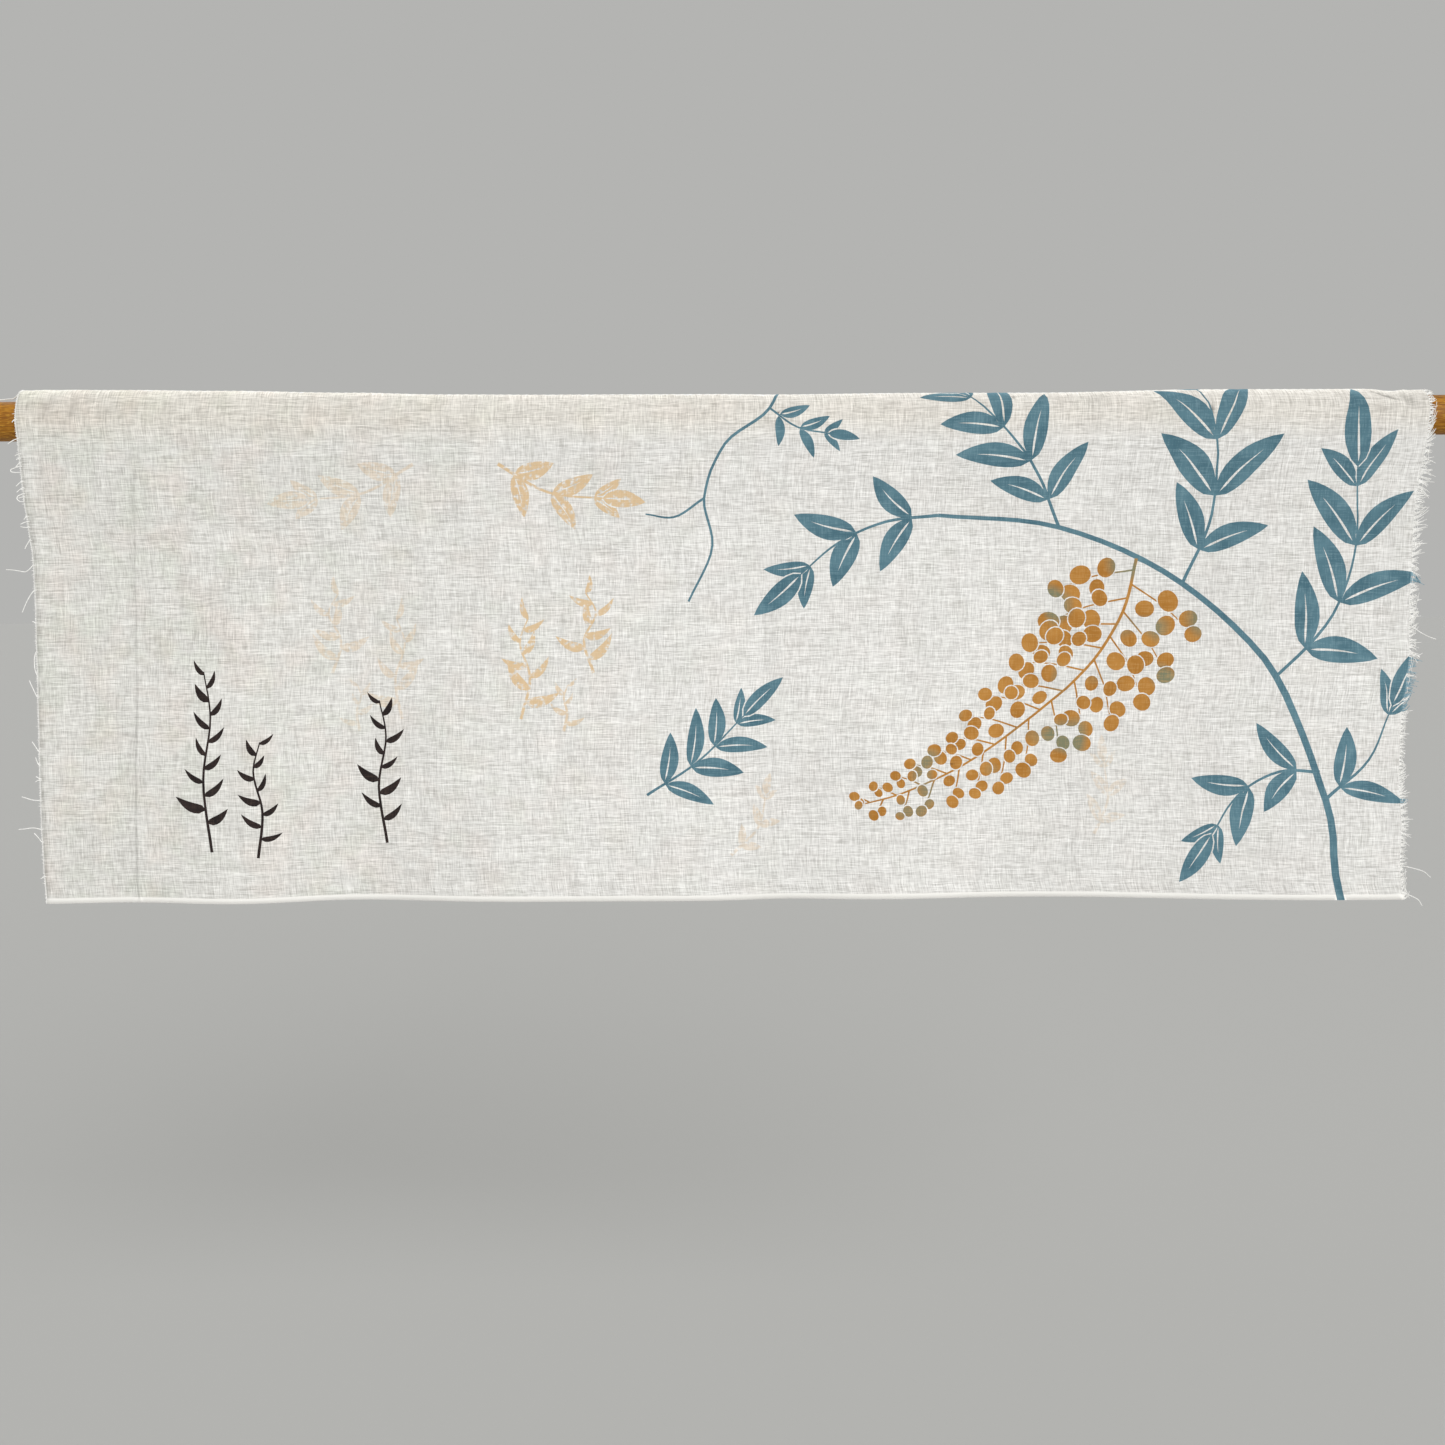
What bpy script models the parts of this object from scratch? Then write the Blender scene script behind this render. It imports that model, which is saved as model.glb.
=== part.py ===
"""Tenugui towel of thin cotton falling over a round wooden rod.

Metres, +Z up. The rod lies along +X with the centre of its left end face at the origin, and the
towel's front faces -Y. The towel is hung by its length: its selvedges run along the rod, and its two
short ends are cut raw and frayed. Tables of sizes are in millimetres.
"""
import math
import random
from collections import namedtuple

import bmesh
import bpy
import numpy as np
from mathutils import Vector

MM = 0.001

ROD_LENGTH = 1.0
ROD_DIAMETER = 0.025
ROD_SIDES = 48
ROD_END_CHAMFER = 0.0008

SHEET_THICKNESS = 0.001
STRIP_GAP = 0.00035
STRIP_WIDTH = 0.0016

# Middle of the sheet in a cut across the rod, from the front's hanging selvedge up over the rod and
# down behind it: depth is along Y and height along Z. The cloth touches the rod at height 0.
Section = namedtuple("Section", "place depth height")
FALL = (
    Section("front selvedge", -6.0, -313.0),
    Section("lower front", -4.0, -230.0),
    Section("middle of the front", -3.0, -152.0),
    Section("upper front", -5.5, -77.0),
    Section("hollow under the rod", -8.5, -48.0),
    Section("below the rod", -12.2, -18.0),
    Section("front seat", -13.4, 0.0),
    Section("front shoulder", -12.9, 5.6),
    Section("upper front shoulder", -10.0, 10.7),
    Section("crest", -3.4, 14.1),
    Section("behind the crest", 3.4, 14.0),
    Section("upper back shoulder", 9.4, 11.0),
    Section("back shoulder", 12.8, 5.6),
    Section("back seat", 13.4, 0.0),
    Section("back flap", 13.3, -9.0),
    Section("back selvedge", 12.4, -24.0),
)

# How far the springy crest stands above the hugging line, along the rod.
Lift = namedtuple("Lift", "along rise")
CREST_LIFT = (
    Lift(43, 4.6), Lift(67, 5.3), Lift(120, 5.0), Lift(180, 4.2), Lift(264, 2.6), Lift(323, 1.2),
    Lift(394, 0.7), Lift(498, 0.6), Lift(537, 0.1), Lift(615, 0.7), Lift(703, 0.5), Lift(811, 2.1),
    Lift(912, 1.9), Lift(929, 0.5), Lift(947, 1.2), Lift(960, 0.1),
)
# How far the hanging selvedge strays from straight, along the rod.
SELVEDGE_STRAY = (
    Lift(50, -0.2), Lift(111, 0.7), Lift(180, -0.5), Lift(259, 1.1), Lift(419, -0.2), Lift(495, -0.5),
    Lift(552, 0.9), Lift(724, 1.2), Lift(839, -0.7), Lift(955, -2.4),
)

# The two cut ends, by the distance along the cloth from the front's hanging selvedge.
EndPoint = namedtuple("EndPoint", "up_the_cloth along")
LEFT_END = (
    EndPoint(0, 55.0), EndPoint(28, 53.8), EndPoint(53, 53.3), EndPoint(84, 53.4), EndPoint(123, 53.9),
    EndPoint(162, 54.6), EndPoint(202, 55.8), EndPoint(225, 56.0), EndPoint(247, 54.6),
    EndPoint(262, 53.6), EndPoint(298, 53.8), EndPoint(312, 52.4), EndPoint(322, 52.2),
    EndPoint(331, 51.8), EndPoint(345, 51.7), EndPoint(385, 52.5),
)
RIGHT_END = (
    EndPoint(0, 943.5), EndPoint(24, 939.8), EndPoint(56, 940.5), EndPoint(88, 940.3),
    EndPoint(120, 938.6), EndPoint(143, 940.5), EndPoint(158, 942.3), EndPoint(220, 942.6),
    EndPoint(258, 942.4), EndPoint(303, 945.2), EndPoint(318, 946.0), EndPoint(331, 945.2),
    EndPoint(385, 944.5),
)

# Soft flutes in the hanging front: they die out under the rod.
Flute = namedtuple("Flute", "wavelength depth shift")
FLUTES = (Flute(232, 2.1, 0.8), Flute(137, 1.1, 2.1))
FLUTES_END = 288 * MM

# One pressed crease runs down the front near the left end.
CREASE_ALONG = 120.0 * MM
CREASE_HALF_WIDTH = 2.6 * MM
CREASE_HEIGHT = 0.6 * MM
CREASE_TOP = 268 * MM

CLOTH_COLUMNS = 44
FRONT_ROWS = 14
UNDER_ROD_ROWS = 4
OVER_ROD_ROWS = 10
BACK_ROWS = 4
UNDER_ROD_START = 286 * MM

# Dense short fringe of the right end.
FRINGE_PITCH = 2.4 * MM
FRINGE_ROOT = 1.0 * MM
FRINGE_SHORTEST = 3.6 * MM
FRINGE_LONGEST = 6.2 * MM
FRINGE_TIP_SHARE = 0.35
FRINGE_SIDE_LEAN = 0.45 * MM
FRINGE_AWAY_LEAN = 1.1 * MM
FRINGE_SEED = 11

# Loose threads of both ends: where each leaves the cloth, and how far it reaches out and up.
Thread = namedtuple("Thread", "height reach rise")
RIGHT_THREADS = (Thread(-131, 12.0, -5.4), Thread(-291, 19.5, -7.0), Thread(-307, 12.6, -10.0))
LEFT_THREADS = (
    Thread(13.0, 17.0, -4.0), Thread(-12, 5.2, -3.6), Thread(-21, 2.6, 0.8), Thread(-27, 5.0, -4.6),
    Thread(-39, 2.2, 0.6), Thread(-44, 4.6, -4.8), Thread(-68, 4.6, 4.4), Thread(-76, 3.3, -4.8),
    Thread(-91.5, 16.5, -2.6), Thread(-107, 8.1, -13.6), Thread(-130, 2.0, 0.9), Thread(-156, 2.6, -1.8),
    Thread(-178, 4.4, 3.6), Thread(-209, 4.0, 3.9), Thread(-219, 2.4, 2.6), Thread(-232, 2.8, -0.8),
    Thread(-244, 11.4, 2.6), Thread(-263, 14.0, 0.4), Thread(-273, 4.6, 4.6), Thread(-296, 2.2, -1.2),
)
LEFT_ROOT = 0.8 * MM
THREAD_TIP_SHARE = 0.45
THREAD_STEPS = 3
THREAD_AWAY_LEAN = 1.6 * MM


def clear_scene():
    for thing in list(bpy.data.objects):
        bpy.data.objects.remove(thing, do_unlink=True)


def smooth_path(points, steps):
    """Points of an even curve through the given points (centripetal Catmull-Rom)."""
    ends = [2 * points[0] - points[1], *points, 2 * points[-1] - points[-2]]
    path = []
    for before, start, stop, after in zip(ends, ends[1:], ends[2:], ends[3:]):
        lead, span, trail = (math.sqrt(np.linalg.norm(b - a))
                             for a, b in ((before, start), (start, stop), (stop, after)))
        leave = (stop - start) + span * ((start - before) / lead - (stop - before) / (lead + span))
        arrive = (stop - start) + span * ((after - stop) / trail - (after - start) / (span + trail))
        for step in range(steps):
            t = step / steps
            path.append((2 * t ** 3 - 3 * t ** 2 + 1) * start + (t ** 3 - 2 * t ** 2 + t) * leave
                        + (3 * t ** 2 - 2 * t ** 3) * stop + (t ** 3 - t ** 2) * arrive)
    path.append(points[-1])
    return np.array(path)


LINE_STEPS = 40
FALL_LINE = smooth_path([np.array((s.depth, s.height)) * MM for s in FALL], LINE_STEPS)
FALL_LENGTHS = np.concatenate([[0.0], np.cumsum(np.linalg.norm(np.diff(FALL_LINE, axis=0), axis=1))])
CLOTH_WIDTH = float(FALL_LENGTHS[-1])


def eased(table, where):
    """Value of a two-column table in millimetres, eased between its rows, for a place in metres."""
    keys = [row[0] * MM for row in table]
    values = [row[1] * MM for row in table]
    if where <= keys[0]:
        return values[0]
    for low, high, start, stop in zip(keys, keys[1:], values, values[1:]):
        if where <= high:
            t = (where - low) / (high - low)
            return start + (stop - start) * t * t * (3 - 2 * t)
    return values[-1]


def up_the_cloth_at(height):
    """Distance up the front from its selvedge to a height, in metres."""
    crest = int(FALL_LINE[:, 1].argmax())
    return float(np.interp(height, FALL_LINE[:crest, 1], FALL_LENGTHS[:crest]))


def up_the_cloth_to(place):
    """Distance from the front's selvedge to a section of the fall, in metres."""
    number = [section.place for section in FALL].index(place)
    return float(FALL_LENGTHS[LINE_STEPS * number])


FRONT_SEAT = up_the_cloth_to("front seat")
BACK_SEAT = up_the_cloth_to("back seat")


def flute_depth(along, up):
    fade = max(0.0, 1.0 - up / FLUTES_END)
    return sum(f.depth * MM * math.sin(math.tau * along / (f.wavelength * MM) + f.shift)
               for f in FLUTES) * fade


def crease_depth(along, up):
    beside = 1.0 - abs(along - CREASE_ALONG) / CREASE_HALF_WIDTH
    if beside <= 0.0:
        return 0.0
    return -CREASE_HEIGHT * beside * min(1.0, max(0.0, (CREASE_TOP - up) / CREASE_TOP * 2.0))


def drape(along, up):
    """Place in space of the sheet's middle, from the place along the rod and up the cloth."""
    depth = float(np.interp(up, FALL_LENGTHS, FALL_LINE[:, 0]))
    height = float(np.interp(up, FALL_LENGTHS, FALL_LINE[:, 1]))
    if FRONT_SEAT < up < BACK_SEAT:
        over = math.sin(math.pi * (up - FRONT_SEAT) / (BACK_SEAT - FRONT_SEAT)) ** 2
        height += eased(CREST_LIFT, along) * over
    if up < FRONT_SEAT:
        height += eased(SELVEDGE_STRAY, along) * (1.0 - up / FRONT_SEAT)
    depth += flute_depth(along, up) + crease_depth(along, up)
    return Vector((along, depth, height))


def on_cloth(share, up):
    """As drape, from the share of the way from the left end to the right one."""
    left = eased(LEFT_END, up)
    right = eased(RIGHT_END, up)
    return drape(left + (right - left) * share, up)


def sheet_grid(columns, rows, place):
    """A grid of faces bent into shape: place gives the point for a column and a row value."""
    mesh = bmesh.new()
    bmesh.ops.create_grid(mesh, x_segments=len(columns) - 1, y_segments=len(rows) - 1, size=1.0)
    for vert in mesh.verts:
        column = round((vert.co.x + 1.0) / 2.0 * (len(columns) - 1))
        row = round((vert.co.y + 1.0) / 2.0 * (len(rows) - 1))
        vert.co = place(columns[column], rows[row])
    return mesh


def new_object(name, mesh, collection, material):
    data = bpy.data.meshes.new(name)
    mesh.to_mesh(data)
    mesh.free()
    thing = bpy.data.objects.new(name, data)
    collection.objects.link(thing)
    data.materials.append(material)
    return thing


def thicken(thing):
    solidify = thing.modifiers.new("Thickness", "SOLIDIFY")
    solidify.thickness = SHEET_THICKNESS
    solidify.offset = 0.0
    solidify.use_even_offset = True


def plain_material(name, colour, roughness):
    material = bpy.data.materials.new(name)
    material.use_nodes = True
    shader = material.node_tree.nodes["Principled BSDF"]
    shader.inputs["Base Color"].default_value = (*colour, 1.0)
    shader.inputs["Roughness"].default_value = roughness
    shader.inputs["Metallic"].default_value = 0.0
    return material


def cloth_rows():
    stretches = (
        (0.0, UNDER_ROD_START, FRONT_ROWS),
        (UNDER_ROD_START, FRONT_SEAT, UNDER_ROD_ROWS),
        (FRONT_SEAT, BACK_SEAT, OVER_ROD_ROWS),
        (BACK_SEAT, CLOTH_WIDTH, BACK_ROWS),
    )
    rows = [start + (stop - start) * i / count for start, stop, count in stretches for i in range(count)]
    return [*rows, CLOTH_WIDTH]


def cloth_columns():
    """Shares along the towel, with a line on the crease and one on each side of it."""
    length = (RIGHT_END[0].along - LEFT_END[0].along) * MM
    crease = (CREASE_ALONG - LEFT_END[0].along * MM) / length
    side = CREASE_HALF_WIDTH / length
    even = [i / CLOTH_COLUMNS for i in range(CLOTH_COLUMNS + 1)]
    return sorted([share for share in even if abs(share - crease) > 2 * side]
                  + [crease - side, crease, crease + side])


def make_cloth(collection, cotton):
    mesh = sheet_grid(cloth_columns(), cloth_rows(), on_cloth)
    thicken(new_object("tenugui_cloth", mesh, collection, cotton))


def cloth_end(end_table, up):
    """Place along the rod where the cloth ends: its end is straight from one row to the next."""
    rows = cloth_rows()
    return float(np.interp(up, rows, [eased(end_table, row) for row in rows]))


def fringe_strip(rows, end_table, outward):
    """The narrow edge strip as a closed bmesh, with one outer face for each pair of rows."""
    def place(beyond, up):
        return drape(cloth_end(end_table, up) + outward * beyond, up)
    flat = sheet_grid([STRIP_GAP, STRIP_GAP + STRIP_WIDTH], rows, place)
    holder = bpy.data.collections.new("shaping")
    bpy.context.scene.collection.children.link(holder)
    strip = new_object("strip", flat, holder, None)
    thicken(strip)
    solid = bpy.data.meshes.new_from_object(strip.evaluated_get(bpy.context.evaluated_depsgraph_get()))
    mesh = bmesh.new()
    mesh.from_mesh(solid)
    bpy.data.objects.remove(strip, do_unlink=True)
    bpy.data.collections.remove(holder)
    bpy.data.meshes.remove(solid)
    return mesh


def outer_face(mesh, spot):
    """The strip's rim face whose middle lies at the spot."""
    mesh.faces.ensure_lookup_table()
    return min(mesh.faces, key=lambda face: (face.calc_center_median() - spot).length)


def away_from_rod(along, up):
    """Unit direction out of the cloth's outer face, and the one up the cloth."""
    step = 0.5 * MM
    low = drape(along, max(0.0, up - step))
    high = drape(along, min(CLOTH_WIDTH, up + step))
    upward = (high - low).normalized()
    return Vector((0.0, -upward.z, upward.y)), upward


def grow_strand(mesh, face, stations, tip_share):
    """Draw a rim face out through the stations, thinning it evenly to the tip."""
    for number, shift in enumerate(stations, start=1):
        old = 1.0 - (1.0 - tip_share) * (number - 1) / len(stations)
        new = 1.0 - (1.0 - tip_share) * number / len(stations)
        face = bmesh.ops.extrude_discrete_faces(mesh, faces=[face])["faces"][0]
        middle = face.calc_center_median()
        for vert in face.verts:
            vert.co = middle + (vert.co - middle) * (new / old) + shift


def thread_shifts(thread, outward, upward, away):
    """Steps that draw a loose thread out from the cloth, bending it up and off the cloth as it goes."""
    shifts = []
    for step in range(THREAD_STEPS):
        bend = ((step + 1) ** 2 - step ** 2) / THREAD_STEPS ** 2
        shifts.append(Vector((outward * thread.reach * MM / THREAD_STEPS, 0.0, 0.0))
                      + upward * thread.rise * MM * bend + away * THREAD_AWAY_LEAN * bend)
    return shifts


def make_right_fringe(collection, cotton):
    random.seed(FRINGE_SEED)
    count = int(CLOTH_WIDTH / FRINGE_PITCH)
    pitch = CLOTH_WIDTH / count
    margin = (pitch - FRINGE_ROOT) / 2
    roots = [(i * pitch + margin, i * pitch + margin + FRINGE_ROOT) for i in range(count)]
    rows = [0.0, *(row for root in roots for row in root), CLOTH_WIDTH]
    mesh = fringe_strip(rows, RIGHT_END, 1.0)
    long_ones = {int(up_the_cloth_at(thread.height * MM) / pitch): thread for thread in RIGHT_THREADS}
    for number, (low, high) in enumerate(roots):
        up = (low + high) / 2
        along = cloth_end(RIGHT_END, up)
        away, upward = away_from_rod(along, up)
        edge = Vector((STRIP_GAP + STRIP_WIDTH, 0.0, 0.0))
        face = outer_face(mesh, (drape(along, low) + drape(along, high)) / 2 + edge)
        shift = (Vector((random.uniform(FRINGE_SHORTEST, FRINGE_LONGEST), 0.0, 0.0))
                 + upward * random.uniform(-FRINGE_SIDE_LEAN, FRINGE_SIDE_LEAN)
                 + away * random.uniform(0.0, FRINGE_AWAY_LEAN))
        if number in long_ones:
            grow_strand(mesh, face, thread_shifts(long_ones[number], 1.0, upward, away), THREAD_TIP_SHARE)
        else:
            grow_strand(mesh, face, [shift], FRINGE_TIP_SHARE)
    new_object("frayed_end_right", mesh, collection, cotton)


def make_left_threads(collection, cotton):
    roots = []
    for thread in LEFT_THREADS:
        up = up_the_cloth_at(thread.height * MM)
        roots.append((up - LEFT_ROOT / 2, up + LEFT_ROOT / 2))
    edges = [row for root in roots for row in root]
    between = [row for row in cloth_rows() if all(abs(row - edge) > LEFT_ROOT for edge in edges)]
    mesh = fringe_strip(sorted(edges + between), LEFT_END, -1.0)
    for thread, (low, high) in zip(LEFT_THREADS, roots):
        along = cloth_end(LEFT_END, (low + high) / 2)
        away, upward = away_from_rod(along, (low + high) / 2)
        edge = Vector((-STRIP_GAP - STRIP_WIDTH, 0.0, 0.0))
        face = outer_face(mesh, (drape(along, low) + drape(along, high)) / 2 + edge)
        grow_strand(mesh, face, thread_shifts(thread, -1.0, upward, away), THREAD_TIP_SHARE)
    new_object("frayed_end_left", mesh, collection, cotton)


def make_rod(collection, wood):
    mesh = bmesh.new()
    bmesh.ops.create_cone(mesh, cap_ends=True, segments=ROD_SIDES, radius1=ROD_DIAMETER / 2,
                          radius2=ROD_DIAMETER / 2, depth=ROD_LENGTH)
    rod = new_object("wooden_rod", mesh, collection, wood)
    rod.location = (ROD_LENGTH / 2, 0.0, 0.0)
    rod.rotation_euler = (0.0, math.radians(90), 0.0)
    chamfer = rod.modifiers.new("End chamfer", "BEVEL")
    chamfer.width = ROD_END_CHAMFER
    chamfer.segments = 1
    chamfer.limit_method = "ANGLE"
    chamfer.angle_limit = math.radians(60)
    rod.data.shade_smooth()
    rod.data.set_sharp_from_angle(angle=math.radians(40))


def main():
    clear_scene()
    collection = bpy.data.collections.new("tenugui_towel_on_rod")
    bpy.context.scene.collection.children.link(collection)
    cotton = plain_material("undyed cotton", (0.73, 0.72, 0.67), 0.92)
    cut_ends = plain_material("frayed cotton ends", (0.80, 0.79, 0.75), 0.95)
    wood = plain_material("varnished wood", (0.36, 0.17, 0.04), 0.4)
    make_rod(collection, wood)
    make_cloth(collection, cotton)
    make_right_fringe(collection, cut_ends)
    make_left_threads(collection, cut_ends)


main()
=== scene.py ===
"""Looks of a cotton tenugui towel that hangs lengthwise over a varnished wooden rod.

The frame is in metres: the rod lies along +X from the origin, and the towel's front faces -Y. The cloth is
drawn flat first, in millimetres, along from its left cut end and up from its front selvedge. The stencil
print is cut into that flat sheet, which is then hung over the rod by the sizes in the tables below.
"""
import math
import random
from collections import namedtuple

import bpy
import numpy as np
from mathutils import Matrix, Vector
from mathutils.geometry import delaunay_2d_cdt


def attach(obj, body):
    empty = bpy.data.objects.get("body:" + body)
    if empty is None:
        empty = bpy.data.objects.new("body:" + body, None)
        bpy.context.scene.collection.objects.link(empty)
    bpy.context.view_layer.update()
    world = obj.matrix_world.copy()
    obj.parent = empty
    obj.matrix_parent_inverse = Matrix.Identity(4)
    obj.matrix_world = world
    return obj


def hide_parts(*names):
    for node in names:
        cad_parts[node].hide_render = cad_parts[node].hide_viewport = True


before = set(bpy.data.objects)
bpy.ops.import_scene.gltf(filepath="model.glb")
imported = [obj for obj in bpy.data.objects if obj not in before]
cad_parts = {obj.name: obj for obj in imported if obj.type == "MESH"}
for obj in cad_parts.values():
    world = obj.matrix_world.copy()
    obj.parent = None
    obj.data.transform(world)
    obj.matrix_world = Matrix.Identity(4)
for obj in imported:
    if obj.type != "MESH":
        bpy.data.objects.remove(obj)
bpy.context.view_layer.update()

MM = 0.001
ROD_RADIUS = 12.5
ROD_LENGTH = 1000.0
CLOTH_THICKNESS = 0.4
YARN_PITCH = 0.5

# Middle of the cloth in a cut across the rod, in millimetres: depth is along Y, height along Z.
Section = namedtuple("Section", "place depth height")
FALL = (
    Section("front selvedge", -6.0, -313.0),
    Section("lower front", -4.0, -230.0),
    Section("middle of the front", -3.0, -152.0),
    Section("upper front", -5.5, -77.0),
    Section("hollow under the rod", -8.5, -48.0),
    Section("below the rod", -12.2, -18.0),
    Section("front seat", -13.4, 0.0),
    Section("front shoulder", -12.9, 5.6),
    Section("upper front shoulder", -10.0, 10.7),
    Section("crest", -3.4, 14.1),
    Section("behind the crest", 3.4, 14.0),
    Section("upper back shoulder", 9.4, 11.0),
    Section("back shoulder", 12.8, 5.6),
    Section("back seat", 13.4, 0.0),
    Section("back flap", 13.3, -9.0),
    Section("back selvedge", 12.4, -24.0),
)
LINE_STEPS = 40

# How far the springy crest stands above the line that hugs the rod, along the rod, in millimetres.
Rise = namedtuple("Rise", "along rise")
CREST_LIFT = (
    Rise(43, 4.6), Rise(67, 5.3), Rise(120, 5.0), Rise(180, 4.2), Rise(264, 2.6), Rise(323, 1.2),
    Rise(394, 0.7), Rise(498, 0.6), Rise(537, 0.1), Rise(615, 0.7), Rise(703, 0.5), Rise(811, 2.1),
    Rise(912, 1.9), Rise(929, 0.5), Rise(947, 1.2), Rise(960, 0.1),
)
# How far the hanging selvedge strays from straight, along the rod, in millimetres.
SELVEDGE_STRAY = (
    Rise(50, -0.2), Rise(111, 0.7), Rise(180, -0.5), Rise(259, 1.1), Rise(419, -0.2), Rise(495, -0.5),
    Rise(552, 0.9), Rise(724, 1.2), Rise(839, -0.7), Rise(955, -2.4),
)
# The two cut ends: places along the rod, by the distance up the cloth, in millimetres.
EndPoint = namedtuple("EndPoint", "up along")
LEFT_END = (
    EndPoint(0, 55.0), EndPoint(28, 53.8), EndPoint(53, 53.3), EndPoint(84, 53.4), EndPoint(123, 53.9),
    EndPoint(162, 54.6), EndPoint(202, 55.8), EndPoint(225, 56.0), EndPoint(247, 54.6),
    EndPoint(262, 53.6), EndPoint(298, 53.6), EndPoint(312, 52.9), EndPoint(322, 53.4),
    EndPoint(331, 52.8), EndPoint(345, 52.4), EndPoint(385, 52.8),
)
RIGHT_END = (
    EndPoint(0, 949.1), EndPoint(12, 946.2), EndPoint(26, 945.2), EndPoint(48, 945.7),
    EndPoint(62, 944.6), EndPoint(76, 943.0), EndPoint(94, 942.9), EndPoint(112, 943.0),
    EndPoint(126, 943.8), EndPoint(141, 945.8), EndPoint(158, 947.0), EndPoint(180, 946.0),
    EndPoint(200, 945.4), EndPoint(256, 944.5), EndPoint(275, 945.4), EndPoint(291, 947.5),
    EndPoint(306, 948.2), EndPoint(318, 948.7), EndPoint(331, 947.9), EndPoint(385, 947.1),
)
# Soft flutes in the hanging front, in millimetres; they die out under the rod.
Flute = namedtuple("Flute", "wavelength depth shift")
FLUTES = (Flute(232, 2.1, 0.8), Flute(137, 1.1, 2.1))
FLUTES_END = 288.0


def smooth_path(points, steps):
    """Points of an even curve through the given points (centripetal Catmull-Rom)."""
    points = [np.array(point, dtype=float) for point in points]
    ends = [2 * points[0] - points[1], *points, 2 * points[-1] - points[-2]]
    path = []
    for before, start, stop, after in zip(ends, ends[1:], ends[2:], ends[3:]):
        lead, span, trail = (math.sqrt(np.linalg.norm(b - a))
                             for a, b in ((before, start), (start, stop), (stop, after)))
        leave = (stop - start) + span * ((start - before) / lead - (stop - before) / (lead + span))
        arrive = (stop - start) + span * ((after - stop) / trail - (after - start) / (span + trail))
        for step in range(steps):
            t = step / steps
            path.append((2 * t ** 3 - 3 * t ** 2 + 1) * start + (t ** 3 - 2 * t ** 2 + t) * leave
                        + (3 * t ** 2 - 2 * t ** 3) * stop + (t ** 3 - t ** 2) * arrive)
    path.append(points[-1])
    return np.array(path)


FALL_LINE = smooth_path([(section.depth, section.height) for section in FALL], LINE_STEPS)
FALL_LENGTHS = np.concatenate([[0.0], np.cumsum(np.linalg.norm(np.diff(FALL_LINE, axis=0), axis=1))])
FALL_SLOPES = np.gradient(FALL_LINE, FALL_LENGTHS, axis=0)
CLOTH_WIDTH = float(FALL_LENGTHS[-1])
CLOTH_LENGTH = 892.5
FRONT_SEAT = float(FALL_LENGTHS[LINE_STEPS * 6])
BACK_SEAT = float(FALL_LENGTHS[LINE_STEPS * 13])


def eased(table, where):
    """Values of a two-column table, eased between its rows."""
    keys = np.array([row[0] for row in table], dtype=float)
    values = np.array([row[1] for row in table], dtype=float)
    where = np.clip(where, keys[0], keys[-1])
    row = np.clip(np.searchsorted(keys, where) - 1, 0, len(keys) - 2)
    t = (where - keys[row]) / (keys[row + 1] - keys[row])
    return values[row] + (values[row + 1] - values[row]) * t * t * (3 - 2 * t)


# Small wrinkles and creases, on the flat cloth, in millimetres: a negative height is a furrow.
# The last column is painted shade along each wrinkle, by that share, where the fold or crease falls in shade;
# a negative share is a painted highlight.
Wrinkle = namedtuple("Wrinkle", "start stop bow half_width height dull")
WRINKLES = (
    # painted highlight along the top of the fold, and a slight darkening below it where the cloth lies on the
    # rod
    Wrinkle((-14, 334.5), (907, 334.5), 0.0, 5.5, 0.0, -0.56),
    Wrinkle((-14, 320.5), (907, 320.5), 0.0, 6.0, 0.0, 0.07),
    # pressed crease down the front near the left end, with painted shade along it
    Wrinkle((73.0, 284), (66.0, 219), 0.0, 0.75, 0.30, 0.16),
    Wrinkle((66.0, 231), (65.5, 121), 0.0, 0.75, 0.42, 0.20),
    Wrinkle((65.5, 133), (61.3, -12), 0.0, 0.75, 0.42, 0.24),
    # soft diagonals at the left end of the crest: painted shade along the two furrows, a painted highlight
    # along the ridge
    Wrinkle((24, 337), (13, 309), 1.5, 3.2, -1.3, 0.18),
    Wrinkle((37, 334), (33, 310), 0.8, 2.0, -0.9, 0.20),
    Wrinkle((57, 332), (44, 309), -0.6, 1.0, 0.55, -0.12),
    # small pucker at the right end of the crest: painted shade along its furrows, a faint painted highlight
    # on its ridge
    Wrinkle((853, 332), (877, 321), -1.6, 0.8, -0.8, 0.55),
    Wrinkle((864, 333), (885, 312), 3.0, 2.8, -1.3, 0.20),
    Wrinkle((876, 335), (888, 320), 0.0, 3.2, 1.0, -0.03),
    # faint long waves over the front
    Wrinkle((270, 60), (300, 250), 6.0, 16.0, 0.7, 0.0),
    Wrinkle((420, 300), (455, 120), -8.0, 14.0, 0.6, 0.0),
    Wrinkle((600, 30), (560, 220), 10.0, 15.0, -0.7, 0.0),
    Wrinkle((800, 40), (770, 150), 6.0, 12.0, 0.7, 0.0),
    Wrinkle((130, 40), (180, 150), -6.0, 14.0, 0.6, 0.0),
)
WRINKLE_FADE = 12.0


def beside_wrinkle(wrinkle, along, up):
    """How strong a wrinkle is at places on the flat cloth, from 0 to 1."""
    start = np.array(wrinkle.start, dtype=float)
    way = np.array(wrinkle.stop, dtype=float) - start
    length = np.linalg.norm(way)
    way /= length
    run = (along - start[0]) * way[0] + (up - start[1]) * way[1]
    side = (along - start[0]) * -way[1] + (up - start[1]) * way[0]
    side = side - wrinkle.bow * np.sin(math.pi * np.clip(run / length, 0.0, 1.0))
    fade = np.clip(np.minimum(run, length - run) / min(WRINKLE_FADE, 0.35 * length), 0.0, 1.0)
    return np.exp(-(side / wrinkle.half_width) ** 2) * fade * fade * (3 - 2 * fade)


def relief(along, up):
    """Height of the wrinkles out of the cloth, for places on the flat cloth."""
    return sum(wrinkle.height * beside_wrinkle(wrinkle, along, up) for wrinkle in WRINKLES)


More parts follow.
